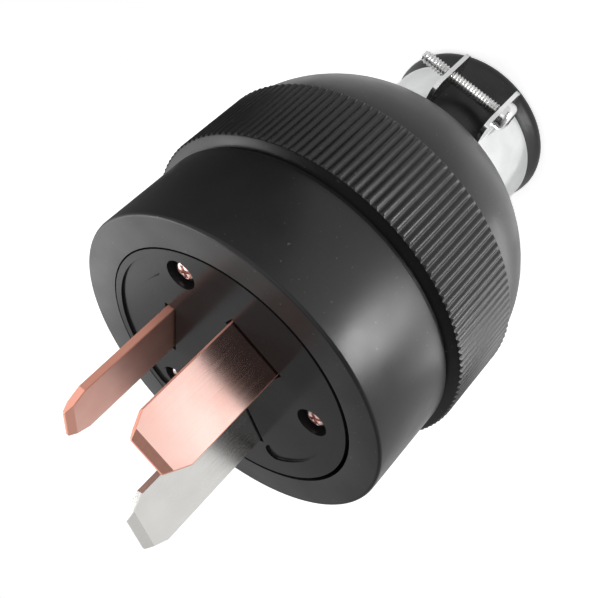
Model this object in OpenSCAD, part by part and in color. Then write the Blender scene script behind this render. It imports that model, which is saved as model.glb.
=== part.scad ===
// Rubber power plug: a knurled rubber cover, a hard face insert with two line blades and one
// longer earth blade, the terminals behind them, and a split clamp on the neck for the cord.
// It stands on its tail lip with the blades up. +Z is the mating axis, +Y is the earth side.

/* [Rubber cover] */
// Height of the cover from the tail to the face
cover_height = 81.5; // [78:0.5:90]
// Diameter of the smooth barrel in front of the ring
barrel_d = 64.5; // [62:0.5:66]
// Rounding of the rim round the face
rim_round = 0.6; // [0.4:0.1:1.5]
// Height of the neck's upper end, where the dome begins
neck_height = 22; // [20:0.5:26]
// Diameter of the neck under the clamp
neck_d = 31.6; // [28:0.2:34]
// Roundness of the dome: 1 is a cone, 2 an ellipse
dome_power = 1.69; // [1.4:0.01:2]
// Diameter of the tail lip
lip_d = 34.8; // [34:0.2:39]
// Rounding of the tail lip
lip_round = 1.8; // [1:0.1:2.2]
// Diameter of the bore for the cord
cord_bore_d = 18; // [14:0.5:20]
// Depth of the empty chamber between the bore and the terminals
wire_space = 28; // [24:1:30]
// Sideways sag of the soft mouth from the axis
mouth_sag = 0.25; // [0:0.05:0.4]

/* [Knurled ring] */
// Diameter over the ridges
ring_d = 68.4; // [67:0.1:72]
// Width of the ring along the axis
ring_width = 16.8; // [12:0.1:18]
// Distance from the face to the ring's front
ring_setback = 21.3; // [20:0.1:24]
// Number of ridges
ridge_count = 140; // [60:1:150]
// Height of a ridge
ridge_height = 0.55; // [0.3:0.05:0.8]
// Share of the pitch that a ridge's top takes up
ridge_share = 0.46; // [0.3:0.01:0.55]
// Depth of the groove between the barrel and the ring
groove_depth = 0.6; // [0.2:0.1:1]

/* [Face insert] */
// Diameter of the insert
insert_d = 50.8; // [49:0.2:52]
// Thickness of the insert
insert_thickness = 10; // [8:0.5:12]
// Height of the terminal base behind the insert
base_height = 15.5; // [15:0.5:18]
// Thickness of the cover's inner flange, nipped between insert and base
flange_thickness = 4; // [3:0.5:5]
// Depth of the shallow recesses in the face
recess_depth = 0.5; // [0.3:0.1:0.8]

/* [Blades] */
// Width of each blade
blade_width = 11.5; // [10:0.1:12]
// Thickness of each blade
blade_thickness = 1.5; // [1.2:0.1:1.8]
// Length of a line blade in front of the face
line_length = 25.6; // [20:0.1:28]
// Length of the earth blade in front of the face
earth_length = 29.3; // [24:0.1:32]
// Distance of a line blade from the plane of symmetry
line_x = 10.3; // [9.5:0.1:10.8]
// Distance of the line blades behind the axis
line_y = 7.1; // [6.5:0.1:7.6]
// Angle of a line blade's width from the X axis
line_angle = 60; // [55:1:65]
// Distance of the earth blade from the axis
earth_y = 11.2; // [10:0.1:12]
// Length of the tip's chamfered corners along the blade
tip_length = 4.4; // [3:0.1:6]
// Width of the tip's chamfered corners across the blade
tip_width = 2.1; // [1:0.1:3]
// Length of the bevel on the tip's wide faces
tip_bevel = 1.6; // [1:0.1:2.5]

/* [Screws] */
// Thread diameter of the face screws
face_screw_d = 2.6; // [2.5:0.1:3]
// Head diameter of the face screws
face_head_d = 4.6; // [4.4:0.1:5]
// Depth of a face screw's head top below the face
face_head_sunk = 0.9; // [0.5:0.1:1.5]
// Distance of the two side screws from the plane of symmetry
side_screw_x = 17.1; // [16.5:0.1:17.5]
// Distance of the two side screws in front of the axis
side_screw_y = 7.2; // [6.5:0.1:8]
// Distance of the third screw behind the axis
rear_screw_y = 20.4; // [19.8:0.1:20.6]
// Thread diameter of the terminal screws
terminal_screw_d = 3.5; // [3:0.1:3.6]

/* [Cord clamp] */
// Direction of the first pair of ears, from the X axis
clamp_angle = -130.6; // [-180:0.1:180]
// Width of the bands along the neck
band_width = 13; // [12:0.5:14]
// Thickness of the bands
band_thickness = 0.85; // [0.7:0.05:1.2]
// Height of the bands' lower edge above the tail
band_height = 5.6; // [5:0.1:6.5]
// Distance between the facing ears
ear_gap = 11.3; // [8:0.1:12]
// Distance of the ears' ends from the axis
ear_reach = 20.9; // [20.5:0.1:23]
// Distance of the clamp screws behind the middle of the ears
clamp_screw_drop = 0.7; // [0:0.1:2]
// Thread diameter of the clamp screws
clamp_screw_d = 2.6; // [2.5:0.1:3]
// Length of the clamp screws under the head
clamp_screw_length = 19.2; // [16:0.1:20]
// Head diameter of the clamp screws
clamp_head_d = 5.8; // [5:0.1:6]

/* [Hidden] */

$fn = 96;
small_fn = 48;
cut = 0.5;

// Clearances between pieces
mouth_gap = 0.5;
slot_gap = 0.45;
base_gap = 0.35;
thread_gap = 0.05;
hole_gap = 0.2;
pocket_gap = 0.25;
band_gap = 0.05;
well_gap = 0.65;
chamber_drop = 1;

// Levels along the axis
face_z = cover_height;
seat_z = face_z - insert_thickness;
flange_z = seat_z - flange_thickness;
base_plate = 4;
plate_z = flange_z - base_plate;
base_z = seat_z - base_height;
chamber_z = base_z - chamber_drop;
ring_front = face_z - ring_setback;
ring_rear = ring_front - ring_width;

// Radii of the cover
barrel_r = barrel_d / 2;
ring_r = ring_d / 2;
root_r = ring_r - ridge_height;
neck_r = neck_d / 2;
lip_r = lip_d / 2;
bore_r = cord_bore_d / 2;
insert_r = insert_d / 2;
mouth_r = insert_r + mouth_gap;
mouth_sag_angle = 155;
flange_width = 2.2;
flange_r = insert_r - flange_width;
base_r = insert_r + mouth_gap / 2;
chamber_r = base_r + base_gap;
core_step = 0.1;
dome_step = 0.3;
groove_width = 1.5;
groove_round = 0.4;
groove_floor = 0.08;
neck_round = 1;
lip_flare = 35;

// Number of steps in a small rounding and in a dome
round_steps = 6;
dome_steps = 24;

// Blades and terminals, in the frame of one blade
tip_thinning = 0.45;
foot_bend = 0.4;
foot_width = 8.4;
foot_reach = 8;
foot_z = plate_z - face_z;
terminal_y = (blade_thickness / 2 + foot_bend + foot_reach) / 2;
clamp_side = 6.4;
clamp_thickness = 1;
terminal_head_d = terminal_screw_d + 2.5;
terminal_head_h = 2.2;
terminal_screw_end = 1.3;
terminal_relief = 2;

// Each blade's place: x, y, turn of its width, length in front of the face
BLADES = [[line_x, -line_y, line_angle - 180, line_length],
    [-line_x, -line_y, 180 - line_angle, line_length],
    [0, earth_y, -90, earth_length]];

// Each face screw's place
FACE_SCREWS = [[0, -rear_screw_y], [side_screw_x, side_screw_y], [-side_screw_x, side_screw_y]];
face_head_h = 1.7;
well_d = face_head_d + 2 * well_gap;
well_depth = face_head_sunk + face_head_h;
nut_flats = 5;
nut_height = 2.2;
nut_pocket = 4;
nut_wall = 1.9;
rib_width = 4;
screw_lift = 0.9;
screw_end_z = base_z + screw_lift;

// Shallow recesses in the face: inner radius, outer radius, first and last angle
RECESSES = [[20.2, 24.1, -71, 21], [17.9, 21.7, 98, 130]];

// Cord clamp, with its screws along X and its ears along Y
band_r = neck_r + band_gap;
band_outer_r = band_r + band_thickness;
ear_inner = ear_gap / 2;
ear_outer = ear_inner + band_thickness;
bend_round = 0.4;
bend_y = sqrt(pow(band_outer_r + bend_round, 2) - pow(ear_outer + bend_round, 2));
ear_front_round = 2.6;
ear_rear_round = 1.2;
clamp_screw_r = bend_y + band_gap + clamp_head_d / 2;
clamp_head_h = 2;
clamp_turn = clamp_angle - 90;

// Cross recess of the screws, as shares of the head's diameter
cross_length = 0.58;
cross_width = 0.15;
cross_depth = 0.2;
head_dome = 0.35;

// Colours
RUBBER = [0.09, 0.09, 0.095];
HARD = [0.13, 0.13, 0.14];
BLOCK = [0.2, 0.17, 0.15];
COPPER = [0.8, 0.5, 0.4];
SILVER = [0.83, 0.82, 0.78];
STEEL = [0.75, 0.76, 0.78];
BRASS = [0.75, 0.62, 0.32];

// Points of an arc
function arc(centre, radius, first, last, steps) = [
    for (i = [0 : steps])
        let (a = first + (last - first) * i / steps)
            centre + radius * [cos(a), sin(a)]
];

// Points of a rounded dome between a wide end and a narrow end
function dome(wide, narrow, power, steps) = [
    for (i = [0 : steps])
        let (a = 90 * i / steps)
            [narrow[0] + (wide[0] - narrow[0]) * pow(sin(a), 2 / power),
             wide[1] - (wide[1] - narrow[1]) * pow(cos(a), 2 / power)]
];

// Points of the ring's toothed outline: flat lands with narrow-floored grooves between them
function ridges(root, tip, count, share, floor_share) = [
    for (i = [0 : count - 1])
        let (pitch = 360 / count, top = pitch * share / 2, foot = pitch * (1 - floor_share) / 2)
            for (p = [[root, -foot], [tip, -top], [tip, top], [root, foot]])
                p[0] * [cos(i * pitch + p[1]), sin(i * pitch + p[1])]
];

// Half outline of the cover, from the tail to the face
module cover_outline() {
    bead = [lip_r - lip_round, lip_round];
    rim = [barrel_r - rim_round, face_z - rim_round];
    groove_r = barrel_r - groove_depth;
    edge = [barrel_r - groove_round, ring_front + groove_width + groove_round];
    polygon(concat(
        [[0, 0]],
        arc(bead, lip_round, -90, lip_flare, round_steps),
        [[neck_r, band_height - band_gap]],
        [[neck_r, neck_height - neck_round]],
        arc([neck_r + neck_round, neck_height - neck_round], neck_round, 180, 90, round_steps),
        dome([root_r - dome_step, ring_rear], [neck_r + neck_round, neck_height], dome_power, dome_steps),
        [[root_r - core_step, ring_rear]],
        [[root_r - core_step, ring_front]],
        [[groove_r, ring_front + groove_width / 2]],
        [[groove_r, ring_front + groove_width]],
        arc(edge, groove_round, -90, 0, round_steps),
        arc(rim, rim_round, 0, 90, round_steps),
        [[0, face_z]]));
}

// Half outline of the hollow behind the mouth
module cover_hollow() {
    polygon(concat(
        [[0, -cut]],
        [[bore_r, -cut]],
        dome([chamber_r, chamber_z - cut], [bore_r, chamber_z - wire_space], dome_power, dome_steps),
        [[chamber_r, flange_z]],
        [[flange_r, flange_z]],
        [[flange_r, seat_z + cut]],
        [[0, seat_z + cut]]));
}

module rubber_cover() {
    color(RUBBER)
    difference() {
        union() {
            rotate_extrude() cover_outline();
            translate([0, 0, ring_rear])
                linear_extrude(ring_width)
                    polygon(ridges(root_r, ring_r, ridge_count, ridge_share, groove_floor));
        }
        rotate_extrude() cover_hollow();
        translate(mouth_sag * [cos(mouth_sag_angle), sin(mouth_sag_angle), 0])
            translate([0, 0, seat_z])
                cylinder(r = mouth_r, h = insert_thickness + cut);
    }
}

// Put the children in the frame of one blade, at the face
module at_blade(i) {
    translate([BLADES[i][0], BLADES[i][1], face_z])
        rotate(BLADES[i][2])
            children();
}

// Put the children at one face screw, at the given height
module at_face_screw(i, height) {
    translate([FACE_SCREWS[i][0], FACE_SCREWS[i][1], height])
        children();
}

// Box that is centred across X, from one Y to another and one Z to another
module slab(width, y, z) {
    translate([-width / 2, y[0], z[0]])
        cube([width, y[1] - y[0], z[1] - z[0]]);
}

// Shallow recess with round ends, sunk into the face
module face_recess(r) {
    middle = (r[0] + r[1]) / 2;
    half = (r[1] - r[0]) / 2;
    translate([0, 0, face_z - recess_depth]) {
        rotate(r[2])
            rotate_extrude(angle = r[3] - r[2])
                translate([r[0], 0])
                    square([2 * half, recess_depth + cut]);
        for (a = [r[2], r[3]])
            rotate(a)
                translate([middle, 0, 0])
                    cylinder(r = half, h = recess_depth + cut, $fn = small_fn);
    }
}

module face_insert() {
    slot = [-blade_thickness / 2 - slot_gap, blade_thickness / 2 + slot_gap];
    color(HARD)
    difference() {
        translate([0, 0, seat_z])
            cylinder(r = insert_r, h = insert_thickness);
        for (i = [0 : len(BLADES) - 1])
            at_blade(i)
                slab(blade_width + 2 * slot_gap, slot, [-insert_thickness - cut, cut]);
        for (i = [0 : len(FACE_SCREWS) - 1]) {
            at_face_screw(i, face_z - well_depth)
                cylinder(d = well_d, h = well_depth + cut, $fn = small_fn);
            at_face_screw(i, seat_z - cut)
                cylinder(d = face_screw_d + 2 * hole_gap, h = insert_thickness, $fn = small_fn);
        }
        for (r = RECESSES)
            face_recess(r);
    }
}

// Hollows of the base for one blade: its slot and a relief for the end of its terminal screw
module blade_hollows() {
    slot = [-blade_thickness / 2 - pocket_gap, blade_thickness / 2 + foot_bend];
    slab(foot_width + 2 * pocket_gap, slot, [foot_z - cut, -insert_thickness + cut]);
    translate([0, terminal_y, foot_z - cut])
        cylinder(d = terminal_screw_d + 2 * hole_gap, h = terminal_relief + cut, $fn = small_fn);
}

// Rib from the axis to one face screw, with the boss that holds its nut
module base_rib(i) {
    height = plate_z - base_z + cut;
    pocket_d = (nut_flats + 2 * hole_gap) / cos(30);
    translate([0, 0, base_z])
        rotate(atan2(FACE_SCREWS[i][1], FACE_SCREWS[i][0]))
            translate([0, -rib_width / 2, 0])
                cube([norm(FACE_SCREWS[i]), rib_width, height]);
    at_face_screw(i, base_z)
        cylinder(d = pocket_d + 2 * nut_wall, h = height, $fn = small_fn);
}

module terminal_base() {
    color(BLOCK)
    difference() {
        union() {
            translate([0, 0, plate_z])
                cylinder(r = base_r, h = base_plate);
            translate([0, 0, plate_z])
                cylinder(r = flange_r - base_gap, h = base_plate + flange_thickness);
            for (i = [0 : len(FACE_SCREWS) - 1])
                base_rib(i);
        }
        for (i = [0 : len(BLADES) - 1])
            at_blade(i)
                blade_hollows();
        for (i = [0 : len(FACE_SCREWS) - 1]) {
            at_face_screw(i, base_z - cut)
                cylinder(d = face_screw_d + 2 * hole_gap, h = base_height + 2 * cut, $fn = small_fn);
            at_face_screw(i, base_z - cut)
                cylinder(d = (nut_flats + 2 * hole_gap) / cos(30), h = nut_pocket + cut, $fn = 6);
        }
    }
}

// Flat outline of a blade, seen on its wide face: its shoulders rest on the base
module blade_outline(length) {
    half = blade_width / 2;
    right = [[half - tip_width, length],
        [half, length - tip_length],
        [half, -insert_thickness],
        [foot_width / 2, -insert_thickness],
        [foot_width / 2, foot_z - 2 * blade_thickness]];
    left = [for (i = [len(right) - 1 : -1 : 0]) [-right[i][0], right[i][1]]];
    polygon(concat(right, left));
}

// Outline of a blade seen on its narrow edge: tip bevelled on both sides, foot bent outwards
module blade_edge(length) {
    half = blade_thickness / 2;
    bend = [half + foot_bend, foot_z + foot_bend];
    polygon(concat(
        [[foot_reach, foot_z]],
        [[foot_reach, foot_z - blade_thickness]],
        arc(bend, foot_bend + blade_thickness, 270, 180, round_steps),
        [[-half, length - tip_bevel], [-half + tip_thinning, length]],
        [[half - tip_thinning, length], [half, length - tip_bevel]],
        arc(bend, foot_bend, 180, 270, round_steps)));
}

module blade(i) {
    length = BLADES[i][3];
    at_blade(i)
        difference() {
            intersection() {
                rotate([90, 0, 0])
                    linear_extrude(4 * foot_reach, center = true)
                        blade_outline(length);
                rotate([90, 0, 90])
                    linear_extrude(2 * blade_width, center = true)
                        blade_edge(length);
            }
            at_terminal()
                translate([0, 0, -blade_thickness - cut])
                    cylinder(d = terminal_screw_d + 2 * thread_gap, h = blade_thickness + 2 * cut,
                        $fn = small_fn);
        }
}

module line_blade_1() { color(COPPER) blade(0); }
module line_blade_2() { color(COPPER) blade(1); }
module earth_blade() { color(SILVER) blade(2); }

// Put the children under a blade's foot, with Z along its terminal screw, towards the tail
module at_terminal() {
    translate([0, terminal_y, foot_z - blade_thickness])
        rotate([180, 0, 0])
            children();
}

// Pan head with a cross recess, on top of z = 0
module pan_head(d, h) {
    difference() {
        rotate_extrude($fn = small_fn)
            polygon(concat(
                [[0, 0], [d / 2, 0]],
                dome_edge(d / 2, h, head_dome * h),
                [[0, h]]));
        for (a = [0, 90])
            rotate(a)
                translate([-cross_length * d / 2, -cross_width * d / 2, h - cross_depth * d])
                    cube([cross_length * d, cross_width * d, cross_depth * d + cut]);
    }
}

// Points of a pan head's rounded edge, from its side to its top
function dome_edge(radius, height, side) = [
    for (i = [0 : round_steps])
        let (a = 90 * i / round_steps)
            [radius * (1 + cos(a)) / 2, side + (height - side) * sin(a)]
];

// Screw with its head on z = 0 and its shank below
module screw(d, length, head_d, head_h) {
    pan_head(head_d, head_h);
    translate([0, 0, -length])
        cylinder(d = d, h = length + cut, $fn = small_fn);
}

module terminal_screw(i) {
    length = clamp_thickness + blade_thickness + terminal_screw_end;
    color(STEEL)
    at_blade(i)
        at_terminal()
            translate([0, 0, clamp_thickness])
                screw(terminal_screw_d, length, terminal_head_d, terminal_head_h);
}

module terminal_screw_1() { terminal_screw(0); }
module terminal_screw_2() { terminal_screw(1); }
module terminal_screw_3() { terminal_screw(2); }

module wire_clamp(i) {
    half = clamp_side / 2;
    color(BRASS)
    at_blade(i)
        at_terminal()
            difference() {
                slab(clamp_side, [-half, half], [0, clamp_thickness]);
                translate([0, 0, -cut])
                    cylinder(d = terminal_screw_d + 2 * hole_gap, h = clamp_thickness + 2 * cut,
                        $fn = small_fn);
            }
}

module wire_clamp_1() { wire_clamp(0); }
module wire_clamp_2() { wire_clamp(1); }
module wire_clamp_3() { wire_clamp(2); }

module face_screw(i) {
    seat = face_z - well_depth;
    color(STEEL)
    at_face_screw(i, seat)
        screw(face_screw_d, seat - screw_end_z, face_head_d, face_head_h);
}

module face_screw_1() { face_screw(0); }
module face_screw_2() { face_screw(1); }
module face_screw_3() { face_screw(2); }

module face_nut(i) {
    color(BRASS)
    at_face_screw(i, base_z + nut_pocket - nut_height)
        difference() {
            cylinder(d = nut_flats / cos(30), h = nut_height, $fn = 6);
            translate([0, 0, -cut])
                cylinder(d = face_screw_d + 2 * thread_gap, h = nut_height + 2 * cut, $fn = small_fn);
        }
}

module face_nut_1() { face_nut(0); }
module face_nut_2() { face_nut(1); }
module face_nut_3() { face_nut(2); }

// Put the children in the clamp's frame, in the middle of the bands: ears along Y, screws along X
module at_clamp(turn) {
    translate([0, 0, band_height + band_width / 2])
        rotate(clamp_turn + turn)
            children();
}

// Filler in the outer corner between a band and its ear
module bend_filler() {
    centre = [ear_outer + bend_round, bend_y];
    touch = centre * band_outer_r / (band_outer_r + bend_round);
    inside = touch * (band_r + band_thickness / 2) / band_outer_r;
    difference() {
        polygon([[ear_inner + band_thickness / 2, bend_y], centre, touch, inside]);
        translate(centre)
            circle(r = bend_round, $fn = small_fn);
    }
}

// Half band seen along the neck, without the flat of its ears
module band_outline() {
    intersection() {
        difference() {
            circle(r = band_outer_r);
            circle(r = band_r);
        }
        translate([ear_inner, -ear_reach])
            square(2 * ear_reach);
    }
    for (side = [0, 1])
        mirror([0, side])
            bend_filler();
}

// Ear seen along its screw, with its outer corners rounded and a hole
module ear_outline(hole_d) {
    low = sqrt(pow(band_r, 2) - pow(ear_inner, 2));
    difference() {
        translate([low, -band_width / 2])
            square([ear_reach - low, band_width]);
        ear_corner(ear_front_round);
        mirror([0, 1])
            ear_corner(ear_rear_round);
        translate([clamp_screw_r, -clamp_screw_drop])
            circle(d = hole_d, $fn = small_fn);
    }
}

// What is cut away round the corner of an ear
module ear_corner(radius) {
    translate([ear_reach - radius, band_width / 2 - radius])
        difference() {
            square(radius + cut);
            circle(r = radius, $fn = small_fn);
        }
}

// Half band with one plain ear and one tapped ear
module clamp_band(turn) {
    color(STEEL)
    at_clamp(turn) {
        linear_extrude(band_width, center = true)
            band_outline();
        for (e = [[0, clamp_screw_d + 2 * hole_gap], [1, clamp_screw_d + 2 * thread_gap]])
            mirror([0, e[0], 0])
                translate([ear_inner, 0, 0])
                    rotate([90, 0, 90])
                        linear_extrude(band_thickness)
                            ear_outline(e[1]);
    }
}

module clamp_band_1() { clamp_band(0); }
module clamp_band_2() { clamp_band(180); }

// Clamp screw with its head on the plain ear
module clamp_screw(turn) {
    color(STEEL)
    at_clamp(turn)
        translate([ear_outer, clamp_screw_r, -clamp_screw_drop])
            rotate([0, 90, 0])
                screw(clamp_screw_d, clamp_screw_length, clamp_head_d, clamp_head_h);
}

module clamp_screw_1() { clamp_screw(0); }
module clamp_screw_2() { clamp_screw(180); }

rubber_cover();
face_insert();
terminal_base();
line_blade_1();
line_blade_2();
earth_blade();
terminal_screw_1();
terminal_screw_2();
terminal_screw_3();
wire_clamp_1();
wire_clamp_2();
wire_clamp_3();
face_screw_1();
face_screw_2();
face_screw_3();
face_nut_1();
face_nut_2();
face_nut_3();
clamp_band_1();
clamp_band_2();
clamp_screw_1();
clamp_screw_2();
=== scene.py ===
# Looks of the rubber power plug: finishes, round ridges, cut threads, a pale studio and the photo's camera.
import math

import bmesh
import bpy
from mathutils import Matrix, Vector


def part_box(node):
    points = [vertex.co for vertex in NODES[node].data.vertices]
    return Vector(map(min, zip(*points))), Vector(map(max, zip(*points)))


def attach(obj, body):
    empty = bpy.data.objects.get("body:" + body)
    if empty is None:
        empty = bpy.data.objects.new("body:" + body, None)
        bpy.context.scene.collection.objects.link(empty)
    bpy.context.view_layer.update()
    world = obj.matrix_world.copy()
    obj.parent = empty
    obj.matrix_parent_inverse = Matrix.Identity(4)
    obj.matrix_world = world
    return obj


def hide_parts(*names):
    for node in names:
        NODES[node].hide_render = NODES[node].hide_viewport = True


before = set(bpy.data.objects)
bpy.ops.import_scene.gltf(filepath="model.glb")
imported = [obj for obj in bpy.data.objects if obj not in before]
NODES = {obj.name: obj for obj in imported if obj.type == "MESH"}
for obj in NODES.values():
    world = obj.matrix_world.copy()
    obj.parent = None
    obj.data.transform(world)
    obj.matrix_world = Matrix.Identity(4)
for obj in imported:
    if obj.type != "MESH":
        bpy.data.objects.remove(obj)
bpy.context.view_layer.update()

MM = 0.001
UP = Vector((0, 0, 1))
WHITE = (1, 1, 1, 1)

# Camera: the photo is square, with this focal length in pixels
PHOTO_SIZE = 598
FOCAL_PIXELS = 1044.7
SENSOR = 36
CLIP_START = 5 * MM
EYE_FROM_FACE = Vector((-126.43, -102.76, 78.7)) * MM
AIM_FROM_FACE = Vector((-6.77, -4.9, -15.46)) * MM
CAMERA_ROLL = math.radians(135.11)

# Clamp screws: their direction, their thread, and the least width of a head as a share of the shank's
CLAMP_TURN = -130.6
CLAMP_SCREW_TURN = math.radians(CLAMP_TURN - 90)
THREAD_PITCH = 0.68 * MM
THREAD_DEPTH = 0.32 * MM
THREAD_SIDES = 24
THREAD_STEPS = 8
HEAD_SHARE = 1.2

# Knurled ring: the CAD ridges, the depth of the round grooves, and the bevels of the ridges' ends
RIDGE_COUNT = 140
RIDGE_HEIGHT = 0.55 * MM
GROOVE_DEPTH = 0.42 * MM
FRONT_BEVEL = 0.3 * MM
REAR_BEVEL = 0.4 * MM

# Cuts that let a ridge's top, its flanks, the groove's floor and the bevels be rounded
TOP_CUTS = 7
FLANK_CUTS = 3
FLOOR_CUTS = 1
BEVEL_STEPS = 3

# Limits for finding the ring's edges: a distance, a share of the pitch and an angle between faces
RING_MARGIN = 0.02 * MM
SLANT_SHARE = 0.01
RIM_ANGLE = 1.0

# Softening: welding, the angles that stay sharp or get a small bevel, and the bevels' widths
WELD_DISTANCE = 0.002 * MM
ROUND_ANGLE = math.radians(28)
CRISP_ANGLE = math.radians(10)
BEVEL_ANGLE = math.radians(35)
INSERT_EDGE = 0.12 * MM
BASE_EDGE = 0.2 * MM
BLADE_EDGE = 0.15 * MM
BAND_EDGE = 0.12 * MM
BRASS_EDGE = 0.1 * MM
SCREW_EDGE = 0.05 * MM

# Relief of the surfaces: height of the grain or of the rolling marks
RUBBER_RELIEF = 0.02 * MM
INSERT_RELIEF = 0.01 * MM
BASE_RELIEF = 0.03 * MM
METAL_RELIEF = 0.004 * MM

# Copper blades: direction of the first one's width, and the look of their cut faces
BLADE_ANGLE = 60
CUT_COPPER = (0.95, 0.48, 0.37)
CUT_ROUGHNESS = 0.6

# Cosines with the broad faces' direction: under the first a face looks cut, over the second broad
MATT_COSINES = (0.9, 0.97)
DEEP_COSINES = (0.975, 0.995)

# Colour sockets of Blender's Mix node, which has several sockets of each name
MIX_FIRST = 6
MIX_SECOND = 7
MIX_RESULT = 2

# Room in mirrors: its bright sides (azimuth, elevation, cosines of rim and core, level), dim otherwise
BRIGHT_SIDES = [
    (14, 25, 0.55, 0.97, 0.82),
    (-94, 25, 0.55, 0.78, 1.0),
    (139, 10, 0.8, 0.95, 0.6),
]
DIM_LEVEL = 0.3
DIM_HEIGHT = -0.3
LOW_LEVEL = 0.06
LOW_HEIGHT = -0.55
ROOM_LIGHT = 0.45

# Floor: it ends beside the plug on one side, and glows a little for mirrors and more for the camera
FLOOR_SIZE = 6.0
FLOOR_TURN = math.radians(35)
EDGE_DISTANCE = 68 * MM
FLOOR_COLOUR = (0.9, 0.9, 0.9, 1)
FLOOR_ROUGHNESS = 0.9
MIRROR_GLOW = 0.25
CAMERA_GLOW = 0.6
PANEL_HEIGHT = 2 * MM

FACE_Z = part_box("face_insert")[1].z
FACE_CENTRE = Vector((0, 0, FACE_Z))
RING_FRONT = Vector((-4, -32, 61)) * MM


def way_to(azimuth, elevation):
    """Unit vector towards a direction in degrees."""
    level = math.cos(math.radians(elevation))
    return Vector((level * math.cos(math.radians(azimuth)), level * math.sin(math.radians(azimuth)),
                   math.sin(math.radians(elevation))))


def material_of(name):
    """New material with its node tree and its main shader."""
    material = bpy.data.materials.new(name)
    material.use_nodes = True
    tree = material.node_tree
    return material, tree, tree.nodes["Principled BSDF"]


def add(tree, kind, **values):
    """New node with some of its properties and inputs set."""
    node = tree.nodes.new(kind)
    for key, value in values.items():
        if key in node.inputs:
            node.inputs[key].default_value = value
        else:
            setattr(node, key, value)
    return node


def noise(tree, scale, stretch=(1, 1, 1), detail=4.0):
    """Noise in object space: scale is in cells per metre, stretch in cells along each axis."""
    place = add(tree, "ShaderNodeTexCoord")
    mapping = add(tree, "ShaderNodeMapping", Scale=stretch)
    texture = add(tree, "ShaderNodeTexNoise", Scale=scale, Detail=detail)
    tree.links.new(place.outputs["Object"], mapping.inputs["Vector"])
    tree.links.new(mapping.outputs["Vector"], texture.inputs["Vector"])
    return texture.outputs["Fac"]


def ramp(tree, value, stops):
    """Colour ramp over a value, with stops of place and colour."""
    node = add(tree, "ShaderNodeValToRGB")
    elements = node.color_ramp.elements
    while len(elements) < len(stops):
        elements.new(0.5)
    for element, (place, colour) in zip(elements, stops):
        element.position = place
        element.color = (*colour, 1)
    tree.links.new(value, node.inputs["Fac"])
    return node.outputs["Color"]


def spread(tree, value, low, high, start=0.0, end=1.0):
    """Value between start and end moved smoothly to the range from low to high."""
    node = add(tree, "ShaderNodeMapRange", interpolation_type="SMOOTHSTEP")
    node.inputs["From Min"].default_value = start
    node.inputs["From Max"].default_value = end
    node.inputs["To Min"].default_value = low
    node.inputs["To Max"].default_value = high
    tree.links.new(value, node.inputs["Value"])
    return node.outputs["Result"]


def highest(tree, first, second):
    """Larger of two values."""
    node = add(tree, "ShaderNodeMath", operation="MAXIMUM")
    tree.links.new(first, node.inputs[0])
    tree.links.new(second, node.inputs[1])
    return node.outputs[0]


def cosine(tree, vector, direction):
    """Cosine between a unit vector of the tree and a fixed direction."""
    node = add(tree, "ShaderNodeVectorMath", operation="DOT_PRODUCT")
    node.inputs[1].default_value = direction
    tree.links.new(vector, node.inputs[0])
    return node.outputs["Value"]


def bump(tree, shader, height, distance, strength):
    """Surface relief from a height, of the given depth in metres."""
    node = add(tree, "ShaderNodeBump", Strength=strength, Distance=distance)
    tree.links.new(height, node.inputs["Height"])
    tree.links.new(node.outputs["Normal"], shader.inputs["Normal"])


def rubber():
    """Satin black rubber, faintly grained, with a little dust."""
    material, tree, shader = material_of("rubber")
    grain = noise(tree, 2600)
    cloud = noise(tree, 90, detail=3.0)
    dust = noise(tree, 1700, detail=1.0)
    colour = ramp(tree, dust, [(0.0, (0.010, 0.010, 0.0105)), (0.75, (0.013, 0.013, 0.0135)),
                               (0.8, (0.07, 0.07, 0.07))])
    tree.links.new(colour, shader.inputs["Base Color"])
    tree.links.new(spread(tree, cloud, 0.24, 0.46), shader.inputs["Roughness"])
    shader.inputs["Specular IOR Level"].default_value = 0.36
    bump(tree, shader, grain, RUBBER_RELIEF, strength=0.35)
    return material


def hard_black():
    """Glossy black thermoset of the face insert."""
    material, tree, shader = material_of("hard_black")
    cloud = noise(tree, 90)
    grain = noise(tree, 1800)
    colour = ramp(tree, cloud, [(0.3, (0.013, 0.013, 0.014)), (0.7, (0.019, 0.019, 0.02))])
    tree.links.new(colour, shader.inputs["Base Color"])
    tree.links.new(spread(tree, grain, 0.14, 0.24), shader.inputs["Roughness"])
    shader.inputs["Specular IOR Level"].default_value = 0.12
    bump(tree, shader, grain, INSERT_RELIEF, strength=0.1)
    return material


def base_black():
    """Matt dark moulding of the terminal base."""
    material, tree, shader = material_of("base_black")
    grain = noise(tree, 1500)
    colour = ramp(tree, grain, [(0.3, (0.02, 0.018, 0.017)), (0.7, (0.032, 0.028, 0.026))])
    tree.links.new(colour, shader.inputs["Base Color"])
    tree.links.new(spread(tree, grain, 0.5, 0.65), shader.inputs["Roughness"])
    bump(tree, shader, grain, BASE_RELIEF, strength=0.4)
    return material


def metal(name, dark, pale, rough, brush=(1, 1, 0.03), broad=None):
    """Metal with a soft tone and fine marks. With broad, faces that look another way are cut copper."""
    material, tree, shader = material_of(name)
    cloud = noise(tree, 120)
    marks = noise(tree, 3500, brush, detail=6.0)
    colour = ramp(tree, cloud, [(0.3, dark), (0.7, pale)])
    roughness = spread(tree, marks, rough - 0.05, rough + 0.07)
    if broad is not None:
        colour, roughness = cut_faces(tree, colour, roughness, broad)
    tree.links.new(colour, shader.inputs["Base Color"])
    tree.links.new(roughness, shader.inputs["Roughness"])
    shader.inputs["Metallic"].default_value = 1.0
    bump(tree, shader, marks, METAL_RELIEF, strength=0.5)
    return material


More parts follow.
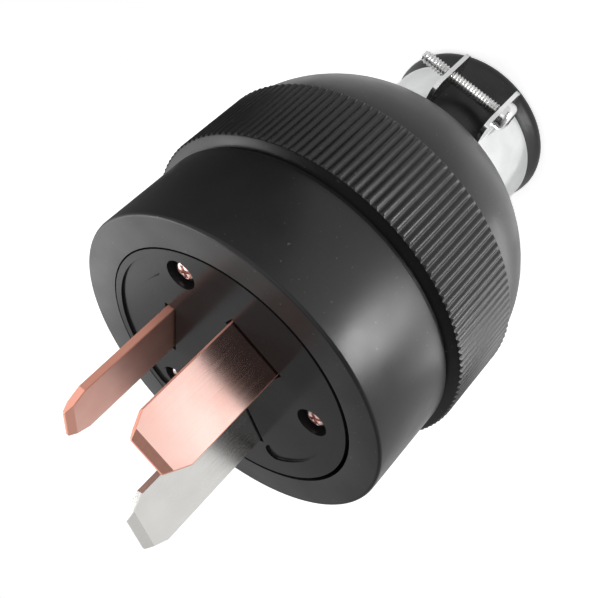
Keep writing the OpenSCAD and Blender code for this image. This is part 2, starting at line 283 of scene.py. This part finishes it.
def cut_faces(tree, colour, roughness, broad):
    """Deeper colour on the faces that don't look along broad, and more roughness on the steep ones."""
    surface = add(tree, "ShaderNodeNewGeometry")
    facing = add(tree, "ShaderNodeMath", operation="ABSOLUTE")
    tree.links.new(cosine(tree, surface.outputs["True Normal"], broad), facing.inputs[0])
    matt = spread(tree, facing.outputs[0], CUT_ROUGHNESS, 0.0, *MATT_COSINES)
    deep = spread(tree, facing.outputs[0], 1.0, 0.0, *DEEP_COSINES)
    mix = add(tree, "ShaderNodeMix", data_type="RGBA")
    tree.links.new(deep, mix.inputs["Factor"])
    tree.links.new(colour, mix.inputs[MIX_FIRST])
    mix.inputs[MIX_SECOND].default_value = (*CUT_COPPER, 1)
    return mix.outputs[MIX_RESULT], highest(tree, roughness, matt)


def smooth_by_angle(limit):
    """Geometry nodes that shade smooth and keep edges over the limit sharp."""
    group = bpy.data.node_groups.new("smooth_by_angle", "GeometryNodeTree")
    group.interface.new_socket("Geometry", in_out="INPUT", socket_type="NodeSocketGeometry")
    group.interface.new_socket("Geometry", in_out="OUTPUT", socket_type="NodeSocketGeometry")
    start = group.nodes.new("NodeGroupInput")
    end = group.nodes.new("NodeGroupOutput")
    faces = group.nodes.new("GeometryNodeSetShadeSmooth")
    edges = group.nodes.new("GeometryNodeSetShadeSmooth")
    edges.domain = "EDGE"
    edges.inputs["Shade Smooth"].default_value = False
    angle = group.nodes.new("GeometryNodeInputMeshEdgeAngle")
    sharp = group.nodes.new("FunctionNodeCompare")
    sharp.operation = "GREATER_THAN"
    sharp.inputs["B"].default_value = limit
    group.links.new(angle.outputs["Unsigned Angle"], sharp.inputs["A"])
    group.links.new(sharp.outputs["Result"], edges.inputs["Selection"])
    group.links.new(start.outputs["Geometry"], faces.inputs["Geometry"])
    group.links.new(faces.outputs["Geometry"], edges.inputs["Geometry"])
    group.links.new(edges.outputs["Geometry"], end.inputs["Geometry"])
    return group


def soften(piece, group, edge=0.0):
    """Join the piece's split faces, bevel its edges by the given width, and shade by angle."""
    own = piece.data.attributes.get("custom_normal")
    if own is not None:
        piece.data.attributes.remove(own)
    weld = piece.modifiers.new("weld", "WELD")
    weld.merge_threshold = WELD_DISTANCE
    if edge:
        bevel = piece.modifiers.new("edge", "BEVEL")
        bevel.width = edge
        bevel.segments = 1
        bevel.limit_method = "ANGLE"
        bevel.angle_limit = BEVEL_ANGLE
        bevel.use_clamp_overlap = True
    smooth = piece.modifiers.new("smooth", "NODES")
    smooth.node_group = group


def dress(names, material, group, edge):
    """Give CAD nodes one finish."""
    for name in names:
        piece = NODES[name]
        piece.data.materials.clear()
        piece.data.materials.append(material)
        soften(piece, group, edge)


def welded_copy(node):
    """Editable copy of a CAD node's mesh, with its split faces joined."""
    mesh = bmesh.new()
    mesh.from_mesh(NODES[node].data)
    bmesh.ops.remove_doubles(mesh, verts=mesh.verts, dist=WELD_DISTANCE)
    return mesh


def show(mesh, node, name, material, group):
    """New piece from a mesh, in place of a CAD node."""
    data = bpy.data.meshes.new(name)
    mesh.to_mesh(data)
    mesh.free()
    piece = bpy.data.objects.new(name, data)
    bpy.context.scene.collection.objects.link(piece)
    data.materials.append(material)
    soften(piece, group)
    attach(piece, "root")
    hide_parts(node)


def radius_of(vert):
    """Distance of a corner from the plug's axis."""
    return math.hypot(vert.co.x, vert.co.y)


def angle_of(vert):
    """Direction of a corner round the plug's axis."""
    return math.atan2(vert.co.y, vert.co.x)


def turn_of(edge):
    """Angle round the plug's axis that an edge spans."""
    first, second = map(angle_of, edge.verts)
    return abs((second - first + math.pi) % (2 * math.pi) - math.pi)


def rise_of(edge):
    """Height that an edge spans."""
    first, second = edge.verts
    return abs(first.co.z - second.co.z)


def rounded_cover(material, group):
    """New cover in place of the CAD one: the same, with round ridges that are bevelled at their ends."""
    mesh = welded_copy("rubber_cover")
    outer = max(map(radius_of, mesh.verts))
    floor_radius = outer - RIDGE_HEIGHT
    crest_heights = [v.co.z for v in mesh.verts if radius_of(v) > outer - RING_MARGIN]
    rear = min(crest_heights)
    front = max(crest_heights)
    pitch = 2 * math.pi / RIDGE_COUNT

    def on_ring(vert):
        inside = rear - RING_MARGIN <= vert.co.z <= front + RING_MARGIN
        return inside and radius_of(vert) > floor_radius - RING_MARGIN

    def ring_parts(parts):
        return [p for p in parts if all(map(on_ring, p.verts))]

    def is_slanted(edge):
        return rise_of(edge) > RING_MARGIN and turn_of(edge) > SLANT_SHARE * pitch

    def is_rim(edge):
        return rise_of(edge) < RING_MARGIN and edge.calc_face_angle() > RIM_ANGLE

    bmesh.ops.dissolve_edges(mesh, edges=list(filter(is_slanted, ring_parts(mesh.edges))))
    rims = list(filter(is_rim, ring_parts(mesh.edges)))
    tops = [e for e in rims if all(radius_of(v) > outer - RING_MARGIN for v in e.verts)]
    floors = [e for e in rims if all(radius_of(v) < floor_radius + RING_MARGIN for v in e.verts)]
    flanks = [e for e in rims if e not in tops and e not in floors]
    middle = sum(map(angle_of, tops[0].verts)) / 2
    for edges, cuts in ((tops, TOP_CUTS), (flanks, FLANK_CUTS), (floors, FLOOR_CUTS)):
        bmesh.ops.subdivide_edges(mesh, edges=edges, cuts=cuts)
    for end, bevel in ((front, -FRONT_BEVEL), (rear, REAR_BEVEL)):
        for i in range(BEVEL_STEPS):
            height = end + bevel * (i + 1) / BEVEL_STEPS
            faces = ring_parts(mesh.faces)
            corners = list(dict.fromkeys(v for f in faces for v in f.verts))
            parts = faces + ring_parts(mesh.edges) + corners
            bmesh.ops.bisect_plane(mesh, geom=parts, dist=WELD_DISTANCE, plane_co=height * UP, plane_no=UP)
    for vert in filter(on_ring, mesh.verts):
        share = (angle_of(vert) - middle) / pitch
        ridge = outer - GROOVE_DEPTH * (0.5 - 0.5 * math.cos(2 * math.pi * share))
        limit = min(outer - FRONT_BEVEL + front - vert.co.z, outer - REAR_BEVEL + vert.co.z - rear)
        vert.co.xy *= min(ridge, limit) / radius_of(vert)
    show(mesh, "rubber_cover", "rubber_cover_ridged", material, group)


def threaded_screw(node, turn, material, group):
    """New screw in place of a plain CAD one: its own head and a cut thread on its shank."""
    along = Vector((math.cos(turn), math.sin(turn), 0))
    side = UP.cross(along)
    corners = [v.co for v in NODES[node].data.vertices]
    tip_at = min(c.dot(along) for c in corners)
    tip = [c for c in corners if c.dot(along) < tip_at + WELD_DISTANCE]
    tip_centre = sum(tip, Vector()) / len(tip)
    shank = max((c - tip_centre).length for c in tip)

    def place(co):
        rise = (co - tip_centre).dot(along)
        return rise, (co - tip_centre - rise * along).length

    seat = min(rise for rise, out in map(place, corners) if out > HEAD_SHARE * shank)
    mesh = welded_copy(node)
    body = [v for v in mesh.verts if place(v.co)[0] < seat - WELD_DISTANCE]
    bmesh.ops.delete(mesh, geom=body, context="VERTS")
    rings = []
    count = int(seat / THREAD_PITCH * THREAD_STEPS)
    for i in range(count + 1):
        rise = seat * i / count
        taper = min(1.0, rise / THREAD_PITCH, (seat - rise) / THREAD_PITCH)
        ring = []
        for j in range(THREAD_SIDES):
            share = j / THREAD_SIDES
            wave = abs((rise / THREAD_PITCH - share) % 1.0 * 2 - 1)
            radius = shank - THREAD_DEPTH * (1 - wave * taper)
            angle = 2 * math.pi * share
            out = math.cos(angle) * side + math.sin(angle) * UP
            ring.append(mesh.verts.new(tip_centre + rise * along + radius * out))
        rings.append(ring)
    for a, b in zip(rings, rings[1:]):
        for j in range(THREAD_SIDES):
            k = (j + 1) % THREAD_SIDES
            mesh.faces.new((a[j], a[k], b[k], b[j]))
    mesh.faces.new(reversed(rings[0]))
    bmesh.ops.bridge_loops(mesh, edges=[e for e in mesh.edges if e.is_boundary])
    bmesh.ops.recalc_face_normals(mesh, faces=mesh.faces)
    show(mesh, node, node + "_threaded", material, group)


def add_camera():
    """Camera at the photo's place, rolled as the photo is."""
    data = bpy.data.cameras.new("camera")
    data.sensor_fit = "HORIZONTAL"
    data.sensor_width = SENSOR
    data.lens = FOCAL_PIXELS / PHOTO_SIZE * SENSOR
    data.clip_start = CLIP_START
    camera = bpy.data.objects.new("camera", data)
    bpy.context.scene.collection.objects.link(camera)
    look = (AIM_FROM_FACE - EYE_FROM_FACE).to_track_quat("-Z", "Y").to_matrix().to_4x4()
    camera.matrix_world = (Matrix.Translation(FACE_CENTRE + EYE_FROM_FACE) @ look
                           @ Matrix.Rotation(-CAMERA_ROLL, 4, "Z"))
    bpy.context.scene.camera = camera


def pale_for_sight(tree, seen, other):
    """Mix two shaders: one for what the camera and mirrors see, one for the light that it gives."""
    path = add(tree, "ShaderNodeLightPath")
    mirrors = highest(tree, path.outputs["Is Glossy Ray"], path.outputs["Is Transmission Ray"])
    mix = add(tree, "ShaderNodeMixShader")
    tree.links.new(highest(tree, mirrors, path.outputs["Is Camera Ray"]), mix.inputs[0])
    tree.links.new(other, mix.inputs[1])
    tree.links.new(seen, mix.inputs[2])
    return mix.outputs[0]


def add_world():
    """White surroundings for the eye, bright and dim sides in mirrors, softer light on the object."""
    world = bpy.data.worlds.new("studio")
    world.use_nodes = True
    tree = world.node_tree
    white = tree.nodes["Background"]
    white.inputs["Color"].default_value = WHITE
    place = add(tree, "ShaderNodeTexCoord")
    height = add(tree, "ShaderNodeSeparateXYZ")
    tree.links.new(place.outputs["Generated"], height.inputs[0])
    level = spread(tree, height.outputs["Z"], LOW_LEVEL, DIM_LEVEL, LOW_HEIGHT, DIM_HEIGHT)
    for azimuth, elevation, rim, core, bright in BRIGHT_SIDES:
        facing = cosine(tree, place.outputs["Generated"], way_to(azimuth, elevation))
        level = highest(tree, level, spread(tree, facing, 0.0, bright, rim, core))
    path = add(tree, "ShaderNodeLightPath")
    tree.links.new(highest(tree, level, path.outputs["Is Camera Ray"]), white.inputs["Strength"])
    soft = add(tree, "ShaderNodeBackground", Strength=ROOM_LIGHT, Color=WHITE)
    mixed = pale_for_sight(tree, white.outputs[0], soft.outputs[0])
    tree.links.new(mixed, tree.nodes["World Output"].inputs["Surface"])
    bpy.context.scene.world = world


def add_floor():
    """Pale floor that keeps the plug's shadow."""
    bpy.ops.mesh.primitive_plane_add(size=FLOOR_SIZE, rotation=(0, 0, FLOOR_TURN))
    floor = bpy.context.object
    floor.name = "floor"
    shift = FLOOR_SIZE / 2 - EDGE_DISTANCE
    floor.location = Vector((-math.sin(FLOOR_TURN), math.cos(FLOOR_TURN), 0)) * shift
    material, tree, shader = material_of("floor")
    shader.inputs["Base Color"].default_value = FLOOR_COLOUR
    shader.inputs["Roughness"].default_value = FLOOR_ROUGHNESS
    shader.inputs["Specular IOR Level"].default_value = 0.0
    path = add(tree, "ShaderNodeLightPath")
    glow = add(tree, "ShaderNodeEmission")
    strength = spread(tree, path.outputs["Is Camera Ray"], MIRROR_GLOW, CAMERA_GLOW)
    tree.links.new(strength, glow.inputs["Strength"])
    both = add(tree, "ShaderNodeAddShader")
    tree.links.new(shader.outputs[0], both.inputs[0])
    tree.links.new(glow.outputs[0], both.inputs[1])
    mixed = pale_for_sight(tree, both.outputs[0], shader.outputs[0])
    tree.links.new(mixed, tree.nodes["Material Output"].inputs["Surface"])
    floor.data.materials.append(material)


def add_lamp(name, location, target, size, power):
    """Soft lamp at a place that looks at a target. The camera doesn't see it."""
    data = bpy.data.lights.new(name, "AREA")
    data.shape = "RECTANGLE"
    data.size, data.size_y = size
    data.energy = power
    lamp = bpy.data.objects.new(name, data)
    bpy.context.scene.collection.objects.link(lamp)
    lamp.location = location
    lamp.rotation_euler = (target - location).to_track_quat("-Z", "Y").to_euler()
    lamp.visible_camera = False


def add_panel(name, x, y, size, power):
    """Lamp that lies on the floor and looks up."""
    location = Vector((x, y, PANEL_HEIGHT))
    add_lamp(name, location, location + UP, size, power)


def add_lights():
    """Soft lamps round the plug, and panels on the floor that the rubber and the metal mirror."""
    side = FACE_CENTRE + 0.13 * way_to(azimuth=178, elevation=-26)
    add_lamp("side_strip", side, FACE_CENTRE, size=(0.045, 0.03), power=0.088)
    add_panel("ring_panel", x=-0.07, y=0.043, size=(0.045, 0.075), power=0.036)
    add_panel("blade_panel", x=-0.2, y=-0.085, size=(0.2, 0.18), power=0.055)
    add_panel("tail_panel", x=-0.041, y=0, size=(0.042, 0.044), power=0.0025)
    above_ring = RING_FRONT + 0.16 * way_to(azimuth=-11, elevation=52)
    add_lamp("ring_soft", above_ring, RING_FRONT, size=(0.08, 0.08), power=0.1)
    back = FACE_CENTRE + 0.5 * way_to(azimuth=10, elevation=26)
    add_lamp("back_soft", back, FACE_CENTRE, size=(0.32, 0.3), power=0.45)
    top = FACE_CENTRE + 0.7 * way_to(azimuth=-150, elevation=60)
    add_lamp("top_soft", top, FACE_CENTRE, size=(0.5, 0.5), power=0.5)


# Finishes
bpy.context.scene.view_settings.view_transform = "Standard"
round_group = smooth_by_angle(ROUND_ANGLE)
crisp_group = smooth_by_angle(CRISP_ANGLE)
# The two line blades are one copper: the first carries painted shade (a deeper, darker tone), the second a
# painted sheen (a paler tone)
copper_painted_shade = metal("copper_painted_shade", (0.84, 0.45, 0.37), (0.92, 0.55, 0.47), rough=0.42,
                    broad=way_to(90 + BLADE_ANGLE, elevation=0))
copper_painted_sheen = metal("copper_painted_sheen", (0.82, 0.51, 0.44), (0.9, 0.61, 0.55), rough=0.2,
                    broad=way_to(90 - BLADE_ANGLE, elevation=0))
silver = metal("nickel_silver", (0.83, 0.82, 0.79), (0.92, 0.91, 0.88), rough=0.24)
band = metal("plated_band", (0.60, 0.61, 0.61), (0.73, 0.74, 0.74), rough=0.17, brush=(0.05, 0.05, 1))
plated = metal("plated_screw", (0.6, 0.6, 0.6), (0.75, 0.75, 0.74), rough=0.2, brush=(1, 1, 1))
# Face screws: pinkish grey metal; the pink tint is a painted reflection of the copper blades
screw_painted_reflection = metal("face_screw", (0.74, 0.55, 0.52), (0.86, 0.68, 0.64), rough=0.2, brush=(1, 1, 1))
brass = metal("brass", (0.5, 0.37, 0.15), (0.66, 0.5, 0.24), rough=0.28)

# Pieces
rounded_cover(rubber(), round_group)
dress(["face_insert"], hard_black(), round_group, INSERT_EDGE)
dress(["terminal_base"], base_black(), round_group, BASE_EDGE)
dress(["line_blade_1"], copper_painted_shade, crisp_group, BLADE_EDGE)
dress(["line_blade_2"], copper_painted_sheen, crisp_group, BLADE_EDGE)
dress(["earth_blade"], silver, crisp_group, BLADE_EDGE)
dress(["clamp_band_1", "clamp_band_2"], band, round_group, BAND_EDGE)
dress([n for n in NODES if "face_nut" in n or "wire_clamp" in n], brass, round_group, BRASS_EDGE)
dress([n for n in NODES if "terminal_screw" in n], plated, round_group, SCREW_EDGE)
dress([n for n in NODES if "face_screw" in n], screw_painted_reflection, round_group, SCREW_EDGE)
threaded_screw("clamp_screw_1", CLAMP_SCREW_TURN, plated, round_group)
threaded_screw("clamp_screw_2", CLAMP_SCREW_TURN + math.pi, plated, round_group)

# Studio
add_floor()
add_world()
add_lights()
add_camera()
